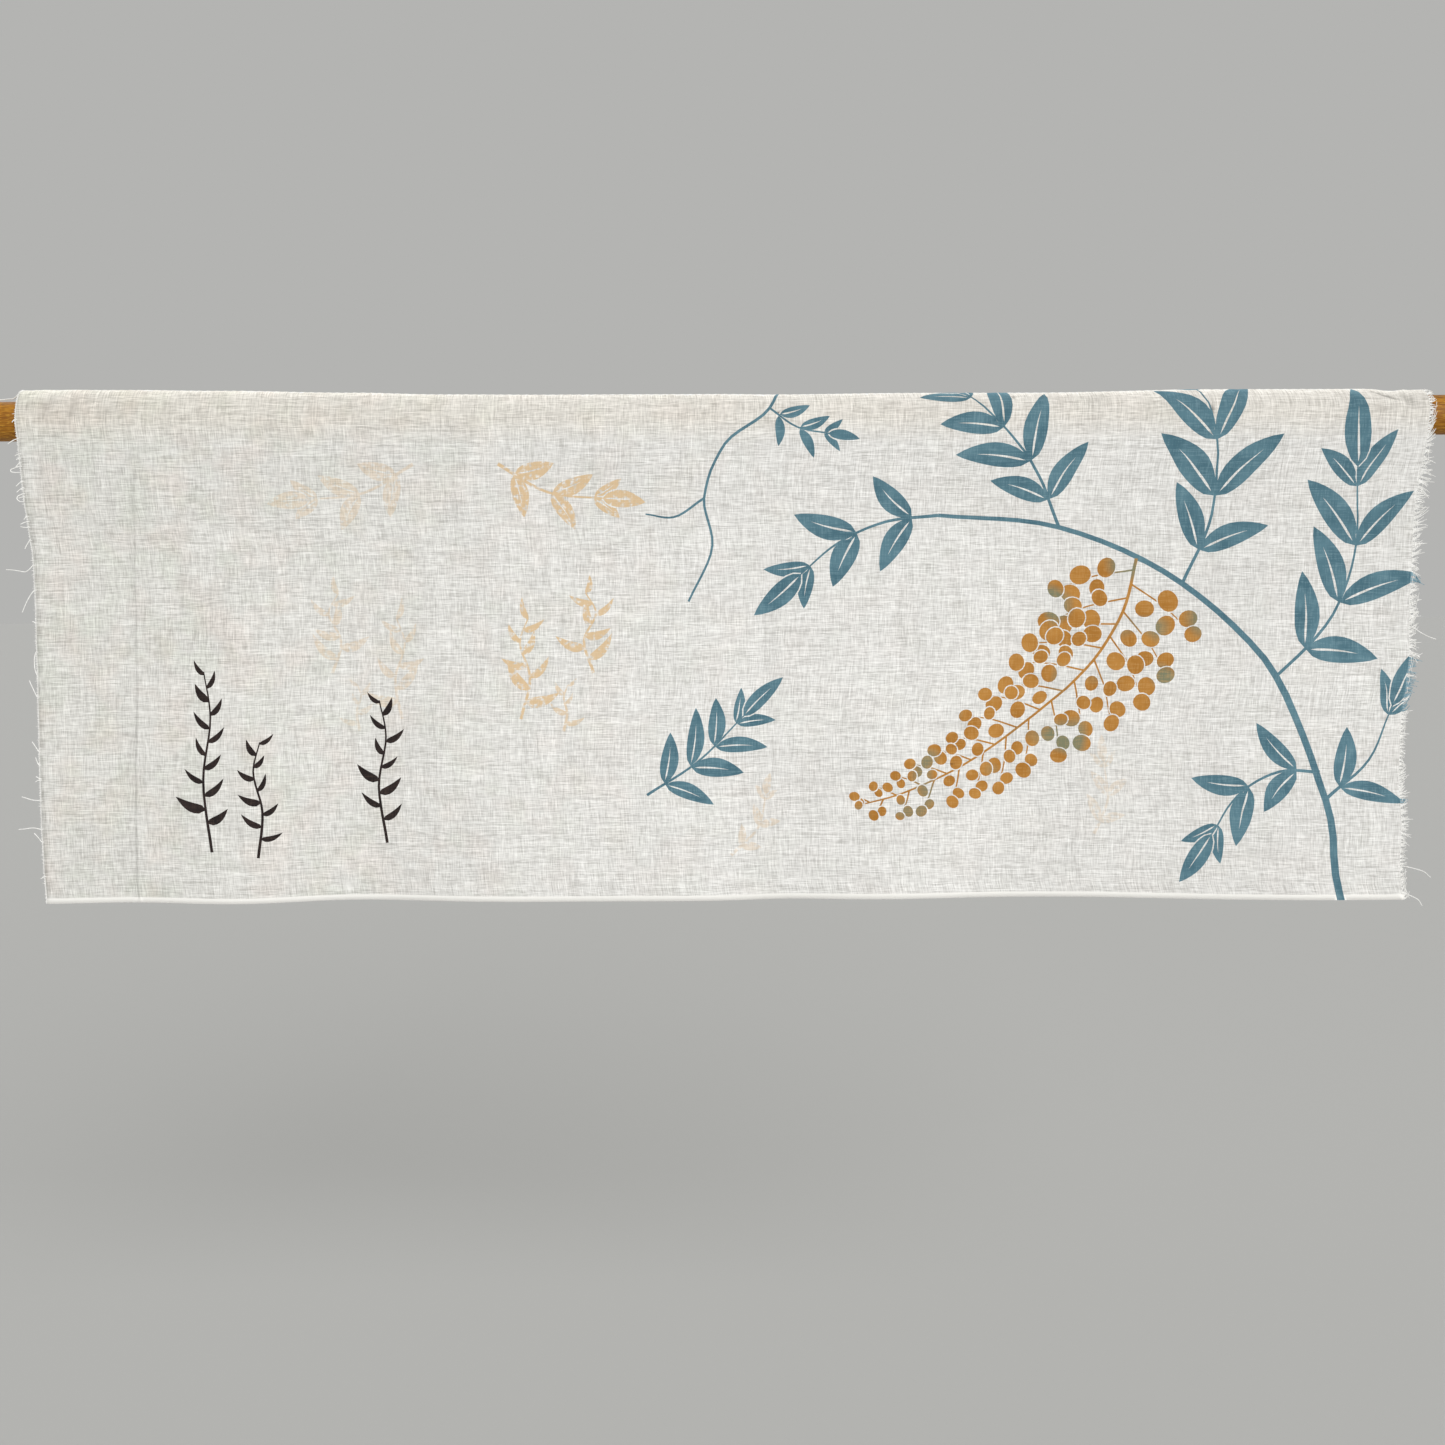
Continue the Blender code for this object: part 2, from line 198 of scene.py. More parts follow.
def painted_shade_at(along, up):
    """How much painted shade darkens the cloth along the wrinkles, or painted highlight lightens it, for
    places on the flat cloth.
    """
    return sum(wrinkle.dull * beside_wrinkle(wrinkle, along, up) for wrinkle in WRINKLES if wrinkle.dull)


def hang(along, up, out=0.0):
    """Places in space, in metres, for places on the flat cloth; out lifts them off its outer face."""
    along = np.asarray(along, dtype=float)
    up = np.asarray(up, dtype=float)
    depth = np.interp(up, FALL_LENGTHS, FALL_LINE[:, 0])
    height = np.interp(up, FALL_LENGTHS, FALL_LINE[:, 1])
    left = eased(LEFT_END, up)
    right = eased(RIGHT_END, up)
    place = left + (right - left) * along / CLOTH_LENGTH
    over = np.clip((up - FRONT_SEAT) / (BACK_SEAT - FRONT_SEAT), 0.0, 1.0)
    height = height + eased(CREST_LIFT, place) * np.sin(math.pi * over) ** 2
    height = height + eased(SELVEDGE_STRAY, place) * np.clip(1.0 - up / FRONT_SEAT, 0.0, 1.0)
    fade = np.clip(1.0 - up / FLUTES_END, 0.0, 1.0)
    for flute in FLUTES:
        depth = depth + flute.depth * np.sin(math.tau * place / flute.wavelength + flute.shift) * fade
    lift = out + relief(along, up)
    depth = depth - np.interp(up, FALL_LENGTHS, FALL_SLOPES[:, 1]) * lift
    height = height + np.interp(up, FALL_LENGTHS, FALL_SLOPES[:, 0]) * lift
    return np.stack([place, depth, height], axis=-1) * MM


# Stencil print: outlines on the flat cloth, painted one over another

Shape = namedtuple("Shape", "outline dye strength")
DYES = ("blue", "ochre", "ink", "ghost")
PRINT_SEED = 7
RESIST_LINE = 0.9
BERRY_RESIST_LINE = 0.75
RIBBED_LEAF_WIDTH = 6.5
LEAF_SPREAD = 52


def turned(points, angle, base):
    c, s = math.cos(angle), math.sin(angle)
    return [(base[0] + x * c - y * s, base[1] + x * s + y * c) for x, y in points]


def blade(length, width, bow, swell=0.8, steps=10):
    """Outline of a leaf blade along its own axis: round-necked, widest before the middle, drawn to a tip."""
    lower, upper = [], []
    for step in range(steps + 1):
        t = step / steps
        half = width / 2 * max(0.0, math.sin(math.pi * t ** swell)) ** 0.8
        middle = bow * math.sin(math.pi * t)
        lower.append((length * t, middle - half))
        upper.append((length * t, middle + half))
    return lower + upper[-2:0:-1]


def leaf(base, angle, length, width, bow, dye, strength):
    """A leaf with a bare line round it and, where it is wide enough, a bare rib left by the stencil."""
    grown = blade(length + 2 * RESIST_LINE, width + 2 * RESIST_LINE, bow)
    back = turned([(-RESIST_LINE, 0.0)], angle, base)[0]
    shapes = [Shape(turned(grown, angle, back), None, 0.0),
              Shape(turned(blade(length, width, bow), angle, base), dye, strength)]
    if width > RIBBED_LEAF_WIDTH:
        rib = [(x + 0.06 * length, y + bow * 0.75 * math.sin(math.pi * (x / length + 0.06)))
               for x, y in blade(length * 0.66, max(0.9, width * 0.085), 0.0, swell=0.5, steps=7)]
        shapes.append(Shape(turned(rib, angle, base), None, 0.0))
    return shapes


def stalk(path, start_width, end_width, dye="blue", strength=1.0, steps=6):
    """A tapering line through the points, as a run of short quads."""
    line = smooth_path(path, steps)
    slope = np.gradient(line, axis=0)
    slope /= np.linalg.norm(slope, axis=1)[:, None]
    side = np.stack([-slope[:, 1], slope[:, 0]], axis=1)
    half = np.linspace(start_width, end_width, len(line))[:, None] / 2
    left, right = line + side * half, line - side * half
    return [Shape([tuple(right[i]), tuple(right[i + 1]), tuple(left[i + 1]), tuple(left[i])], dye, strength)
            for i in range(len(line) - 1)]


def along_path(path, share):
    """Point and heading at a share of a smooth path."""
    line = smooth_path(path, 12)
    lengths = np.concatenate([[0.0], np.cumsum(np.linalg.norm(np.diff(line, axis=0), axis=1))])
    where = share * lengths[-1]
    point = np.array([np.interp(where, lengths, line[:, i]) for i in range(2)])
    ahead = np.array([np.interp(min(where + 1.5, lengths[-1]), lengths, line[:, i]) for i in range(2)])
    behind = np.array([np.interp(max(where - 1.5, 0.0), lengths, line[:, i]) for i in range(2)])
    return point, math.atan2(ahead[1] - behind[1], ahead[0] - behind[0])


def leaf_spray(path, pairs, longest, width, dye="blue", strength=1.0, thick=2.2):
    """Opposite leaves up a stalk and one at its end."""
    shapes = []
    for pair in range(pairs):
        share = 0.16 + 0.74 * pair / (pairs - 1)
        point, heading = along_path(path, share)
        size = math.sin(math.pi * (0.30 + 0.52 * share))
        for side in (1, -1):
            angle = heading + side * math.radians(LEAF_SPREAD - 16 * share + random.uniform(-5, 5))
            length = longest * size * random.uniform(0.88, 1.06)
            reach = turned([(0.9, side * 0.6)], heading, point)[0]
            shapes += leaf(reach, angle, length, width * size * random.uniform(0.9, 1.08),
                           -side * 0.055 * length, dye, strength)
    tip, heading = along_path(path, 0.985)
    shapes += leaf(tip, heading, longest * 0.92, width * 0.92, 0.03 * longest, dye, strength)
    return shapes + stalk(path, thick, 0.9, dye, strength)


def berry(centre, radius):
    """A not quite round berry with a bare line round it."""
    tilt = random.uniform(0.0, math.tau)
    turns = [math.tau * i / 16 for i in range(16)]
    rings = [[(centre[0] + size * (1 + 0.07 * math.cos(2 * (turn - tilt))) * math.cos(turn),
               centre[1] + size * (1 + 0.07 * math.cos(2 * (turn - tilt))) * math.sin(turn))
              for turn in turns]
             for size in (radius + BERRY_RESIST_LINE, radius)]
    return [Shape(rings[0], None, 0.0), Shape(rings[1], "ochre", 1.0)]


def berry_panicle(path, width, twigs, largest):
    """A loose cone of berries on side twigs along a stalk."""
    stalks = stalk(path, 2.2, 0.9, "ochre")
    berries = []
    for twig in range(twigs):
        share = 0.03 + 0.94 * twig / (twigs - 1)
        point, heading = along_path(path, share)
        side = 1 if twig % 2 else -1
        size = largest * (1.0 - 0.55 * share)
        reach = width / 2 * (1.0 - share) ** 0.7 * random.uniform(0.84, 1.08) + 2.2 * size
        angle = heading + side * math.radians(64 - 26 * share + random.uniform(-6, 6))
        middle = turned([(reach * 0.5, side * 0.04 * reach)], angle, point)[0]
        tip = turned([(reach * 0.96, 0.0)], angle, point)[0]
        stalks += stalk([tuple(point), middle, tip], 1.2, 0.7, "ochre", steps=4)
        count = max(1, round(reach / (1.75 * size)))
        for number in reversed(range(count)):
            beside = 0.0 if number == 0 else (1 if number % 2 else -1) * size * random.uniform(0.75, 1.15)
            spot = turned([(reach * (1.0 - 0.84 * number / count), beside)], angle, point)[0]
            berries += berry(spot, size * random.uniform(0.82, 1.08))
    return stalks + berries + berry(tuple(along_path(path, 1.0)[0]), largest * 0.42)


def brush_sprig(foot, height, lean, leaves, longest, dye="ink", strength=1.0):
    """An upright sprig drawn with a loaded brush: a thin bent stem and short pressed strokes."""
    path = [foot, (foot[0] + lean, foot[1] + height * 0.4), (foot[0] - 0.3 * lean, foot[1] + height * 0.75),
            (foot[0] + lean * 0.8, foot[1] + height)]
    shapes = stalk(path, 2.0, 0.8, dye, strength)
    for number in range(leaves):
        share = 0.16 + 0.82 * number / (leaves - 1)
        point, heading = along_path(path, share)
        side = 1 if number % 2 else -1
        angle = heading + side * math.radians(62 - 30 * share + random.uniform(-10, 10))
        length = longest * (1.08 - 0.45 * share) * random.uniform(0.82, 1.14)
        stroke = blade(length, length * random.uniform(0.25, 0.33), side * 0.1 * length, swell=0.6, steps=7)
        shapes.append(Shape(turned(stroke, angle, tuple(point)), dye, strength))
    return shapes


def mirrored(shapes, axis, strength):
    """The same shapes turned over a fold line, printed off faintly."""
    return [Shape([(2 * axis - x, y) for x, y in reversed(shape.outline)], shape.dye,
                  shape.strength * strength) for shape in shapes]


# Where the motifs lie on the flat cloth, in millimetres
Spray = namedtuple("Spray", "path pairs longest width")
Sprig = namedtuple("Sprig", "foot height lean leaves longest")
BRANCH = ((850, -8), (842, 66), (806, 146), (744, 206), (664, 242), (586, 250))
BRANCH_SPRAYS = (
    Spray(((586, 250), (552, 246), (520, 232), (496, 212)), 3, 44, 15.5),
    Spray(((664, 242), (650, 274), (626, 304), (596, 332)), 4, 46, 15.5),
    Spray(((744, 206), (762, 250), (760, 296), (744, 344)), 4, 54, 17.5),
    Spray(((806, 146), (842, 186), (856, 232), (852, 282)), 4, 58, 18.5),
    Spray(((842, 66), (872, 92), (886, 128)), 2, 46, 15),
    Spray(((839, 84), (812, 84), (784, 68), (766, 42)), 3, 42, 14),
)
BERRY_TWIG = ((744, 206), (728, 216), (714, 222))
BERRY_STALK = ((714, 222), (706, 188), (682, 150), (646, 116), (606, 88), (566, 70), (536, 62))
LOOSE_SPRAY = Spray(((398, 70), (432, 92), (462, 122)), 4, 38, 12.0)
CREST_TWIG = ((486, 350), (476, 318), (448, 296), (436, 262), (440, 232), (424, 196))
CREST_SIDE_TWIG = ((436, 262), (416, 250), (398, 252))
CREST_SPRAY = Spray(((476, 318), (494, 306), (514, 302)), 3, 22, 7.0)
SPRIGS = (
    Sprig((112, 34), 118, -4, 12, 20), Sprig((142, 30), 76, 4, 9, 17), Sprig((226, 38), 94, -4, 10, 18),
)
GHOST_FOLD = 277.0
MIRRORED_STRENGTH = 0.42
GHOST_SPRAY = Spray(((304, 284), (336, 266), (372, 262)), 3, 30, 12)
# Each with its strength
GHOST_SPRIGS = (
    (Sprig((316, 120), 66, 5, 8, 24), 1.0), (Sprig((362, 150), 52, -6, 7, 22), 1.0),
    (Sprig((344, 112), 30, 2, 5, 13), 0.7),
)
STRAY_GHOSTS = (
    (Spray(((452, 30), (470, 48), (476, 70)), 3, 16, 6), 0.4),
    (Spray(((690, 42), (700, 66), (698, 90)), 3, 20, 7), 0.3),
)


def rising_branch():
    """The blue branch that comes up from the front selvedge and arches to the left, with its leaf sprays."""
    shapes = stalk(BRANCH, 5.4, 2.4)
    for spray in BRANCH_SPRAYS:
        shapes += leaf_spray(*spray)
    return shapes


def drooping_berries():
    """The loose bunch of ochre berries that hangs below the branch, down to the left."""
    return stalk(BERRY_TWIG, 2.6, 2.2) + berry_panicle(BERRY_STALK, width=84, twigs=27, largest=6.6)


def crest_twig():
    """A thin bare twig that hangs from the fold, with one small side spray."""
    twigs = stalk(CREST_TWIG, 2.0, 1.4) + stalk(CREST_SIDE_TWIG, 1.6, 1.0)
    return twigs + leaf_spray(*CREST_SPRAY, thick=1.3)


def ghosts():
    """Pale dye that has printed off a folded neighbour: strong right of the fold, faint on its left."""
    strong = leaf_spray(*GHOST_SPRAY, dye="ghost")
    for sprig, strength in GHOST_SPRIGS:
        strong += brush_sprig(*sprig, dye="ghost", strength=strength)
    shapes = mirrored(strong, GHOST_FOLD, MIRRORED_STRENGTH) + strong
    for spray, strength in STRAY_GHOSTS:
        shapes += leaf_spray(*spray, dye="ghost", strength=strength)
    return shapes


def printed_shapes():
    """Every motif, in the order in which they are painted."""
    random.seed(PRINT_SEED)
    shapes = ghosts()
    for sprig in SPRIGS:
        shapes += brush_sprig(*sprig)
    shapes += leaf_spray(*LOOSE_SPRAY, thick=1.8)
    return shapes + crest_twig() + rising_branch() + drooping_berries()


def inside(outline, place):
    """Whether an outline goes round a place."""
    found = False
    for here, after in zip(outline, outline[1:] + outline[:1]):
        if (here[1] > place[1]) != (after[1] > place[1]):
            if place[0] < here[0] + (place[1] - here[1]) / (after[1] - here[1]) * (after[0] - here[0]):
                found = not found
    return found


def dye_at(shapes, place):
    """Dye of the last shape painted over a place, or None on bare cloth."""
    return next((shape.dye for shape in reversed(shapes) if inside(shape.outline, place)), None)


# Cloth

# Mesh of the flat sheet, in millimetres; its rows are closer together where it bends over the rod.
Run = namedtuple("Run", "start stop step")
RIM_MARGIN = 1.0
RIM_STEP = 2.4
FRONT_ROWS = Run(4.5, 296.0, 6.0)
BENT_ROWS = Run(298.0, CLOTH_WIDTH - RIM_MARGIN, 2.4)
COLUMNS = Run(3.0, CLOTH_LENGTH - RIM_MARGIN, 5.5)
ODD_ROW_SHIFT = 2.7
# Creases narrower than this get lines of points of their own, at these shares of their half width.
FINE_CREASE = 4.0
CREASE_STEP = 2.5
CREASE_LINES = (-1.6, -0.8, 0.0, 0.8, 1.6)
# The print's outlines end this far inside the sheet's rim.
CLIP_MARGIN = 0.02
MERGE_DISTANCE = 1e-4
KEEP_INSIDE = 1


def crease_places(wrinkle):
    """Places along a fine crease, close together across it."""
    start, stop = np.array(wrinkle.start), np.array(wrinkle.stop)
    length = np.linalg.norm(stop - start)
    way = (stop - start) / length
    side = np.array((-way[1], way[0]))
    places = []
    for step in np.arange(0.0, length, CREASE_STEP):
        bow = wrinkle.bow * math.sin(math.pi * (step / length))
        for shift in CREASE_LINES:
            along, up = start + way * step + side * (bow + shift * wrinkle.half_width)
            if RIM_MARGIN < up < CLOTH_WIDTH - RIM_MARGIN and RIM_MARGIN < along < CLOTH_LENGTH - RIM_MARGIN:
                places.append((along, up))
    return places


def flat_places():
    """Grid places of the flat sheet, and the places along its fine creases."""
    rows = np.concatenate([np.arange(*FRONT_ROWS), np.arange(*BENT_ROWS)])
    places = [(along + (ODD_ROW_SHIFT if number % 2 else 0.0), up)
              for number, up in enumerate(rows) for along in np.arange(*COLUMNS)
              if along + ODD_ROW_SHIFT < CLOTH_LENGTH - RIM_MARGIN]
    for wrinkle in WRINKLES:
        if wrinkle.half_width < FINE_CREASE:
            places += crease_places(wrinkle)
    return places


def clipped(outline):
    """An outline kept just inside the sheet, or nothing where it lies outside."""
    sides = ((0, CLIP_MARGIN, 1), (0, CLOTH_LENGTH - CLIP_MARGIN, -1),
             (1, CLIP_MARGIN, 1), (1, CLOTH_WIDTH - CLIP_MARGIN, -1))
    for axis, limit, sign in sides:
        kept = []
        for here, after in zip(outline, outline[1:] + outline[:1]):
            here_fits = (here[axis] - limit) * sign >= 0
            after_fits = (after[axis] - limit) * sign >= 0
            if here_fits:
                kept.append(here)
            if here_fits != after_fits:
                t = (limit - here[axis]) / (after[axis] - here[axis])
                kept.append(tuple(here[i] + (after[i] - here[i]) * t for i in range(2)))
        outline = kept
        if len(outline) < 3:
            return []
    return outline


def edge_places(start, stop, spacing):
    count = max(2, int(math.dist(start, stop) / spacing))
    return [tuple(np.array(start) + (np.array(stop) - np.array(start)) * i / count) for i in range(count)]


def printed_sheet(shapes):
    """Flat triangles of the cloth with the print's outlines cut in: places, faces and each face's shape."""
    corners = [(0.0, 0.0), (CLOTH_LENGTH, 0.0), (CLOTH_LENGTH, CLOTH_WIDTH), (0.0, CLOTH_WIDTH)]
    rim = [place for start, stop in zip(corners, corners[1:] + corners[:1])
           for place in edge_places(start, stop, RIM_STEP)]
    places, outlines, printed = list(rim), [list(range(len(rim)))], [None]
    for shape in shapes:
        outline = clipped(shape.outline)
        if outline:
            outlines.append(list(range(len(places), len(places) + len(outline))))
            printed.append(shape)
            places += outline
    places += flat_places()
    flat, _, faces, _, _, within = delaunay_2d_cdt(
        [Vector(place) for place in places], [], outlines, KEEP_INSIDE, MERGE_DISTANCE, True)
    top = [printed[max(found)] if found else None for found in within]
    return np.array([tuple(place) for place in flat]), faces, top


def make_cloth(shapes, material):
    flat, faces, top = printed_sheet(shapes)
    mesh = bpy.data.meshes.new("tenugui_cotton")
    mesh.from_pydata([tuple(place) for place in hang(flat[:, 0], flat[:, 1])], [], faces)
    dyes = mesh.attributes.new("dyes", "FLOAT_COLOR", "FACE")
    for number, shape in enumerate(top):
        colour = [0.0] * 4
        if shape is not None and shape.dye is not None:
            colour[DYES.index(shape.dye)] = shape.strength
        dyes.data[number].color = colour
    place = mesh.attributes.new("cloth_place", "FLOAT_VECTOR", "POINT")
    place.data.foreach_set("vector", np.column_stack([flat, np.zeros(len(flat))]).ravel())
    # Painted shade along the wrinkles and creases, and painted highlight where it is negative.
    dull = mesh.attributes.new("dull", "FLOAT", "POINT")
    dull.data.foreach_set("value", painted_shade_at(flat[:, 0], flat[:, 1]))
    uv = mesh.uv_layers.new(name="flat cloth")
    corners = np.empty(len(mesh.loops), dtype=np.int32)
    mesh.loops.foreach_get("vertex_index", corners)
    uv.data.foreach_set("uv", (flat[corners] / CLOTH_LENGTH).ravel())
    mesh.shade_smooth()
    mesh.materials.append(material)
    cloth = bpy.data.objects.new("tenugui_cotton", mesh)
    bpy.context.scene.collection.objects.link(cloth)
    thickness = cloth.modifiers.new("Cloth thickness", "SOLIDIFY")
    thickness.thickness = CLOTH_THICKNESS * MM
    thickness.offset = 0.0
    return cloth


# Frayed ends

FRAY_PITCH = 0.55
FRAY_THICKNESS = 0.56
LOOSE_THICKNESS = 0.72
RIGHT_FRAY_SEED = 21
LEFT_FRAY_SEED = 33
TUFT_SIZES = (2, 3, 4, 5, 6, 8)
MOST_LEAN_DOWN = 55
MOST_LEAN_UP = 58
LONG_YARN_SHARE = 0.06
LONG_YARN_REACH = 1.45
SHORTEST_WEFT = 5.0
# How far inside the weave a loose yarn starts.
ROOT_DEPTH = 1.4
# Cross yarns outside the weave: their distance from it, the longest of them and the widest gap.
StrayWefts = namedtuple("StrayWefts", "distance longest widest_gap")
STRAY_WEFTS = (StrayWefts(1.3, 45.0, 14.0), StrayWefts(2.6, 18.0, 26.0))
# How far the right end's yarns stand out of the weave, by the distance up the cloth, in millimetres.
Reach = namedtuple("Reach", "up out")
FRINGE = (
    Reach(0, 3.4), Reach(11, 2.8), Reach(30, 3.6), Reach(48, 5.0), Reach(62, 5.0), Reach(76, 4.6),
    Reach(103, 3.8), Reach(125, 5.0), Reach(158, 5.9), Reach(200, 6.1), Reach(256, 6.1), Reach(275, 7.0),
    Reach(291, 5.2), Reach(310, 4.2), Reach(340, 4.0), Reach(385, 4.4),
)
Yarn = namedtuple("Yarn", "points radii dyed")


def yarn_piece(name, yarns, thickness, materials):
    """Many loose yarns as one curve piece."""
    curve = bpy.data.curves.new(name, "CURVE")
    curve.dimensions = "3D"
    curve.bevel_depth = thickness / 2 * MM
    curve.bevel_resolution = 1
    curve.use_fill_caps = True
    for material in materials:
        curve.materials.append(material)
    for yarn in yarns:
        spline = curve.splines.new("POLY")
        spline.points.add(len(yarn.points) - 1)
        for point, place, radius in zip(spline.points, yarn.points, yarn.radii):
            point.co = (*place, 1.0)
            point.radius = radius
        spline.material_index = yarn.dyed
        spline.use_smooth = True
    piece = bpy.data.objects.new(name, curve)
    bpy.context.scene.collection.objects.link(piece)
    return piece


def tuft_lean(up):
    """Neighbouring tufts lean the same way, in degrees up the cloth."""
    return 8 + 26 * math.sin(up / 9.5 + 1.0) + 17 * math.sin(up / 3.9)


def fray_yarn(root, gathered, reach, lean, away, dyed):
    """One yarn of a tuft: out of the weave, in towards the tuft's middle, then on along its lean."""
    shares = np.array([-0.05, 0.1, 0.25, 0.4, 0.6, 0.8, 1.0])
    beyond = np.clip(shares, 0.0, 1.0)
    ups = root + (gathered - root) * np.sin(np.clip(beyond / 0.35, 0.0, 1.0) * math.pi / 2)
    ups = ups + reach * math.tan(math.radians(lean)) * np.clip(beyond - 0.15, 0.0, 1.0) * beyond ** 0.5
    ups = np.clip(ups, 0.0, CLOTH_WIDTH)
    points = hang(CLOTH_LENGTH + reach * shares, ups, 0.05 + away * beyond ** 2)
    return Yarn(points, 1.0 - 0.4 * beyond, dyed)


def stray_weft(distance, start, stop, shift):
    """A cross yarn that has come loose and runs along the end, outside the weave."""
    ups = np.arange(start, stop, 1.5)
    beyond = distance + 0.35 * np.sin(ups * 0.55 + shift) + 0.2 * np.sin(ups * 1.7 + 2 * shift)
    points = hang(CLOTH_LENGTH + beyond, ups, 0.25 + 0.15 * np.sin(ups * 0.9 + shift))
    return Yarn(points, np.full(len(ups), 0.6), 0)


def make_right_fray(shapes, materials):
    """Dense short fringe: yarns in small tufts, and cross yarns that have slipped out to the edge."""
    random.seed(RIGHT_FRAY_SEED)
    near_end = [shape for shape in shapes if max(a for a, _ in shape.outline) > CLOTH_LENGTH - 4.0]
    yarns = []
    up = 0.2
    while up < CLOTH_WIDTH - 0.5:
        count = random.choice(TUFT_SIZES)
        centre = up + count * FRAY_PITCH * random.uniform(0.3, 0.7)
        gather = random.uniform(0.2, 0.85)
        reach = float(eased(FRINGE, centre)) * random.uniform(0.72, 1.05)
        lean = tuft_lean(centre) + random.uniform(-18, 18)
        lean = max(-MOST_LEAN_DOWN, min(MOST_LEAN_UP, lean))
        away = random.uniform(-0.1, 1.1)
        for number in range(count):
            root = min(CLOTH_WIDTH, up + (number + 0.5) * FRAY_PITCH)
            dyed = int(dye_at(near_end, (CLOTH_LENGTH - 0.5, root)) == "blue")
            spread = (number - (count - 1) / 2) * 4.0 + random.uniform(-13, 13)
            long_one = random.random() < LONG_YARN_SHARE
            stray = LONG_YARN_REACH if long_one else random.uniform(0.6, 1.1)
            yarns.append(fray_yarn(root, root + (centre - root) * gather, reach * stray,
                                   lean + spread, away + random.uniform(-0.15, 0.15), dyed))
        up += count * FRAY_PITCH
    for wefts in STRAY_WEFTS:
        up = 1.0
        while up < CLOTH_WIDTH - 6.0:
            stop = min(CLOTH_WIDTH, up + random.uniform(0.3, 1.0) * wefts.longest)
            if stop - up > SHORTEST_WEFT:
                yarns.append(stray_weft(wefts.distance, up, stop, random.uniform(0.0, math.tau)))
            up = stop + random.uniform(0.2, 1.0) * wefts.widest_gap
    return yarn_piece("right_fray", yarns, FRAY_THICKNESS, materials)


# Loose yarns of the two ends: up the cloth, then steps out and up from there, in millimetres.
Loose = namedtuple("Loose", "up steps")
LEFT_LOOSE = (
    Loose(334, ((5.2, -5.0), (8.5, -5.4), (13.0, -5.9), (17.0, -5.6))),
    Loose(313, ((0.8, -0.6), (1.6, -1.6))),
    Loose(301, ((2.9, -1.2), (5.6, -3.1))),
    Loose(291.6, ((1.0, -0.4), (2.1, -1.1))),
    Loose(288.9, ((0.8, -0.3), (1.7, -0.8))),
    Loose(286, ((1.2, -1.2), (2.7, -3.0))),
    Loose(284, ((2.8, -1.0), (5.5, -2.2), (5.6, -3.3), (4.4, -3.8), (0.4, -3.9), (-0.6, -3.8))),
    Loose(274.4, ((1.6, -1.2), (3.4, -3.0))),
    Loose(270.3, ((1.5, -1.0), (3.4, -2.6))),
    Loose(266.6, ((1.6, -0.6), (3.2, -1.5), (3.7, -3.1), (2.4, -4.6), (0.2, -4.9), (-0.8, -4.8))),
    Loose(264.6, ((1.4, -0.2), (2.8, -0.7))),
    Loose(252.3, ((0.7, -0.8), (1.6, -2.0))),
    Loose(249, ((2.0, -0.6), (4.2, -1.6))),
    Loose(245.4, ((2.0, 0.0), (4.4, 0.4))),
    Loose(237, ((1.8, -2.4), (3.3, -5.2))),
    Loose(221, ((2.4, -2.4), (4.8, -4.0), (9.0, -3.4), (13.0, -2.8), (16.6, -2.6))),
    Loose(205, ((3.6, -4.6), (6.0, -9.2), (8.1, -14.0))),
    Loose(184, ((1.0, 0.8), (2.0, 0.9))),
    Loose(165, ((1.2, -3.6), (1.4, -7.5), (1.1, -12.0), (-0.4, -16.0))),
    Loose(136, ((2.4, 5.0), (4.6, 10.8))),
    Loose(100.5, ((2.0, 3.2), (3.9, 6.4))),
    Loose(91.5, ((1.2, 2.4), (2.0, 5.1))),
    Loose(82.5, ((1.2, 1.0), (2.2, 1.4))),
    Loose(81.5, ((1.4, -0.2), (2.6, -1.0))),
    Loose(68.3, ((4.0, 0.2), (8.0, 1.4), (11.4, 2.6))),
    Loose(49.3, ((5.0, 1.0), (10.0, 0.5), (14.0, 0.2))),
    Loose(41, ((2.2, 2.8), (4.6, 5.8))),
    Loose(18, ((1.2, -0.8), (2.2, -1.3))),
)
RIGHT_LOOSE = (
    Loose(178, ((2.3, -0.3), (7.1, -3.4), (11.4, -5.8), (16.8, -7.9))),
    Loose(22, ((1.5, 0.3), (8.0, -1.0), (15.0, -3.2), (19.4, -7.0))),
    Loose(4.5, ((1.6, -0.6), (6.0, -2.4), (9.7, -4.6), (12.0, -8.4))),
)


def loose_yarns(table, edge, outward):
    """Curling yarns that leave a cut end, each given by its steps."""
    yarns = []
    for loose in table:
        line = smooth_path([(-ROOT_DEPTH, 0.0), (0.0, 0.0), *loose.steps], 6)
        points = []
        for out, rise in line:
            root = hang(edge + outward * min(out, 0.0), loose.up, 0.15)
            points.append(root + np.array((outward * max(out, 0.0), -0.1 * max(0.0, out), rise)) * MM)
        yarns.append(Yarn(points, np.linspace(1.0, 0.8, len(line)), 0))
    return yarns


